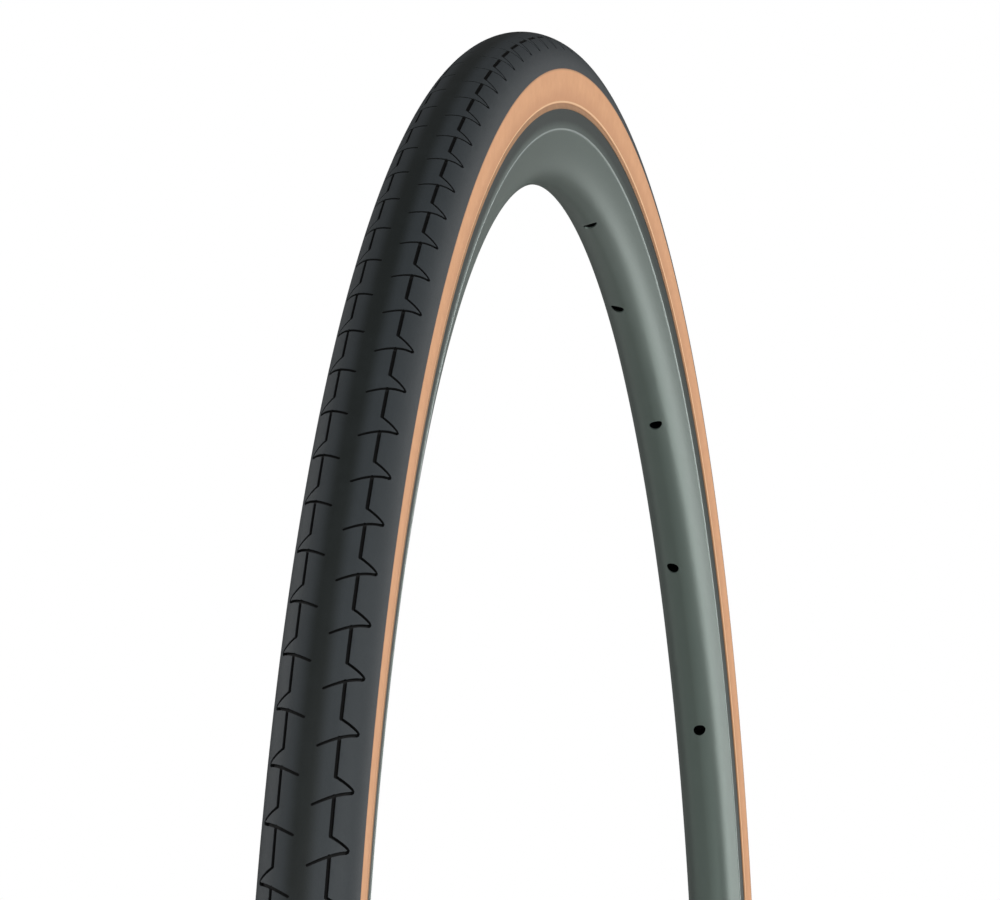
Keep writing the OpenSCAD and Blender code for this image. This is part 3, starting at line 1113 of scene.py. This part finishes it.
@dataclass
class Studio:
    """Pale floor, soft lights and the camera."""

    floor_height: float
    camera_at: tuple = (-1.110, -0.1918, 0.0944)
    camera_towards: tuple = (0.9758, 0.1857, 0.1154)
    camera_roll: float = math.radians(-0.29)
    lens: float = 145.27
    sensor: float = 36.0
    floor_half: float = 6.0
    fill: float = 0.12

    def floor(self) -> None:
        """Lays the floor."""
        verts = [(x * self.floor_half, y * self.floor_half, self.floor_height)
                 for x, y in ((-1, -1), (1, -1), (1, 1), (-1, 1))]
        sheet = NodeSheet("pale_floor")
        cloud = sheet.noise(3.0, 3.0)
        paint = sheet.surface(Base_Color=sheet.mix(cloud, (0.80, 0.80, 0.79), (0.84, 0.84, 0.83)),
                              Roughness=0.8)
        MeshShop.piece("floor", verts, [(0, 1, 2, 3)], paint)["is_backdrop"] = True

    def sky(self) -> None:
        """Sets a white surround, which lights the object at the strength of fill."""
        scene = bpy.context.scene
        scene.view_settings.view_transform = "Standard"
        world = bpy.data.worlds.new("studio_white")
        world.use_nodes = True
        tree = world.node_tree
        back = tree.nodes["Background"]
        back.inputs["Color"].default_value = (1.0, 1.0, 1.0, 1.0)
        back.inputs["Strength"].default_value = self.fill
        seen = tree.nodes.new("ShaderNodeBackground")
        seen.inputs["Color"].default_value = (1.0, 1.0, 1.0, 1.0)
        pick = tree.nodes.new("ShaderNodeMixShader")
        tree.links.new(tree.nodes.new("ShaderNodeLightPath").outputs["Is Camera Ray"],
                       pick.inputs[0])
        tree.links.new(back.outputs[0], pick.inputs[1])
        tree.links.new(seen.outputs[0], pick.inputs[2])
        tree.links.new(pick.outputs[0], tree.nodes["World Output"].inputs["Surface"])
        scene.world = world

    def lamp(self, name: str, at: tuple, towards: tuple, size: tuple, watts: float) -> None:
        """Hangs one soft box.

        Args:
            name: its name.
            at: its place.
            towards: the point it faces.
            size: its width and height.
            watts: its power.
        """
        light = bpy.data.lights.new(name, "AREA")
        light.shape = "RECTANGLE"
        light.size, light.size_y = size
        light.energy = watts
        lamp = bpy.data.objects.new(name, light)
        lamp.location = at
        lamp.rotation_euler = (Vector(towards) - Vector(at)).to_track_quat("-Z", "Y").to_euler()
        bpy.context.scene.collection.objects.link(lamp)

    def light(self) -> None:
        """Hangs the soft boxes in the white surround."""
        self.sky()
        self.lamp("front_box", (-2.2, -0.7, 0.8), (-0.2, 0.0, 0.05), (1.6, 1.6), 24.0)
        self.lamp("left_box", (-1.7, 1.6, 0.6), (-0.2, 0.0, 0.05), (1.2, 1.2), 9.0)
        self.lamp("side_box", (-0.6, -2.2, 0.6), (0.0, 0.0, 0.1), (1.6, 1.6), 31.0)
        self.lamp("strip_box", (1.08, -0.86, 0.3), (0.3, 0.0, 0.1), (0.22, 1.3), 4.2)
        self.lamp("back_box", (0.3, 2.6, 1.1), (0.0, 0.0, 0.0), (1.8, 1.4), 20.0)
        self.lamp("far_box", (3.1, -1.55, -0.05), (0.0, 0.0, 0.25), (0.9, 0.5), 2.6)

    def camera(self) -> None:
        """Sets up the camera."""
        data = bpy.data.cameras.new("camera")
        data.lens, data.sensor_width = self.lens, self.sensor
        data.sensor_fit = "HORIZONTAL"
        data.clip_start, data.clip_end = 0.01, 50.0
        view = bpy.data.objects.new("camera", data)
        turn = Vector(self.camera_towards).to_track_quat("-Z", "Y").to_matrix().to_4x4()
        view.matrix_world = (Matrix.Translation(self.camera_at) @ turn
                             @ Matrix.Rotation(self.camera_roll, 4, "Z"))
        bpy.context.scene.collection.objects.link(view)
        bpy.context.scene.camera = view


@dataclass
class WheelHoop:
    """The whole object: puts each piece on its body and gives each node a finish."""

    frame: dict

    def stand_in(self, piece: Piece, body: str, slot: str, *nodes: str) -> None:
        """Rides a piece on a body in place of CAD nodes, and reports it."""
        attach(piece, body)
        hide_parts(*nodes)
        log.info("%s: %d faces, stands for %s", piece.name, len(piece.data.polygons),
                 ", ".join(nodes))

    def tyre(self) -> None:
        """Builds the tread, the sidewalls and the chafers."""
        _, half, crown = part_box("tread_cap")[1]
        rim_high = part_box("rim")[1]
        middle = crown - half
        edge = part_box("sidewall_left")[1][2]
        tread = Tread(crown, half, edge, casing_rise=half - 2.4 * MM, casing_half=half - 0.5 * MM)
        finish = TreadRubber(middle, half)
        self.stand_in(tread.build(finish.material()), "hoop", "tread_rubber", "tread_cap")
        walls = Sidewalls(half, middle, edge, rim_high[2] + 0.6 * MM, rim_high[2], rim_high[1])
        tan = TanCotton(walls.chafer_top, edge).material()
        cloth = ChaferCloth().material()
        slots = {"sidewall": "tan_sidewall", "chafer": "chafer_fabric"}
        for side, piece, kind in walls.build(tan, cloth):
            self.stand_in(piece, "hoop", slots[kind], f"{kind}_{side.name.lower()}")

    def rim(self) -> None:
        """Builds the rim from the spoke holes stated in the record."""
        holes = [m for m in self.frame["record"]["mounts"] if m["name"].startswith("spoke_hole")]
        angles = [math.atan2(m["pos_m"][2], m["pos_m"][0]) for m in holes]
        offsets = [m["pos_m"][1] for m in holes]
        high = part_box("rim")[1]
        bed = math.hypot(holes[0]["pos_m"][0], holes[0]["pos_m"][2]) - 0.9 * MM
        rim = Rim(high[2], high[1], bed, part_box("rim_tape")[1][1] + 0.1 * MM, angles, offsets,
                  hole=holes[0]["dims"]["r_mm"] * MM, access=2.9 * MM, valve_hole=3.25 * MM)
        finish = DarkAnodise(rim.ridge, rim.half, rim.bed)
        self.stand_in(rim.build(finish.material()), "hoop", "rim_alloy", "rim")

    def valve(self) -> None:
        """Builds the valve's outer pieces."""
        low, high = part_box("valve_stem")
        valve = Valve(tip=high[2], base=low[2], stem_radius=high[0])
        brass = Metal("valve_brass", linear(214, 190, 120), linear(176, 150, 88)).material()
        nickel = Metal("nut_nickel", linear(205, 206, 204), linear(170, 171, 170), 0.2).material()
        seal = Moulded("seal_rubber", linear(28, 28, 29), linear(40, 40, 41)).material()
        black = Moulded("cap_plastic", linear(22, 22, 24), linear(34, 34, 36), 0.42,
                        2200.0, 0.02 * MM).material()
        self.stand_in(valve.stem(brass), "hoop", "valve_brass", "valve_stem")
        self.stand_in(valve.nut("nut_knurled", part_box("rim_nut"), high[0] + 0.05 * MM, 24, nickel),
                      "rim_nut", "nut_nickel", "rim_nut")
        self.stand_in(valve.washer(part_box("rim_nut_washer"), high[0] + 0.05 * MM, seal),
                      "nut_washer", "seal_rubber", "rim_nut_washer")
        self.stand_in(valve.nut("lock_nut_knurled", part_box("lock_nut"), 1.05 * MM, 14, brass),
                      "lock_nut", "valve_brass", "lock_nut")
        self.stand_in(valve.cap(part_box("dust_cap"), black), "dust_cap", "cap_plastic", "dust_cap")
        self.finish_nodes({"valve_core": brass, "valve_pin": brass, "valve_pin_seal": seal})

    def finish_nodes(self, finishes: dict[str, Material]) -> None:
        """Gives CAD nodes that stay their procedural finish."""
        for name, material in finishes.items():
            mesh = self.frame["nodes"][name].data
            mesh.materials.clear()
            mesh.materials.append(material)
            log.info("%s: finished with %s", name, material.name)

    def inner_pieces(self) -> None:
        """Finishes the pieces inside the tyre and the rim."""
        tan = linear(205, 166, 126), linear(160, 120, 84)
        cord = CordCloth("casing_cord", *tan).material()
        cross = CordCloth("casing_cord_crossed", *tan, 1500, -3000.0).material()
        belt = CordCloth("breaker_cord", linear(150, 140, 60), linear(96, 88, 36), 2600).material()
        steel = Metal("bead_steel", linear(170, 172, 174), linear(120, 122, 124), 0.35).material()
        tube = Moulded("tube_rubber", linear(30, 30, 31), linear(52, 52, 53), 0.6).material()
        tape = Moulded("tape_cloth", linear(226, 220, 206), linear(200, 192, 174), 0.8, 900.0,
                       0.08 * MM).material()
        mill = Metal("sleeve_mill", linear(178, 182, 180), linear(140, 144, 142), 0.4).material()
        white = Moulded("core_ptfe", linear(240, 240, 234), linear(224, 224, 216), 0.4).material()
        self.finish_nodes({
            "casing_ply_outer": cord, "casing_ply_inner": cross, "breaker_strip": belt,
            "bead_wire_left": steel, "bead_wire_right": steel, "inner_tube": tube,
            "valve_patch": tube, "rim_tape": tape, "rim_joint_sleeve": mill,
            "valve_core_seal": white})


def plain(box: tuple) -> list[list[float]]:
    """A box as plain lists of numbers."""
    return [[float(v) for v in corner] for corner in box]


def main() -> None:
    """Builds the studio and the object."""
    logging.basicConfig(level=logging.INFO, format="%(name)s %(message)s")
    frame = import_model()
    cad_box = plain(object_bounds())
    studio = Studio(floor_height=cad_box[0][2])
    studio.floor()
    studio.camera()
    studio.light()
    hoop = WheelHoop(frame)
    hoop.tyre()
    hoop.rim()
    hoop.valve()
    hoop.inner_pieces()


if __name__ == "__main__":
    main()
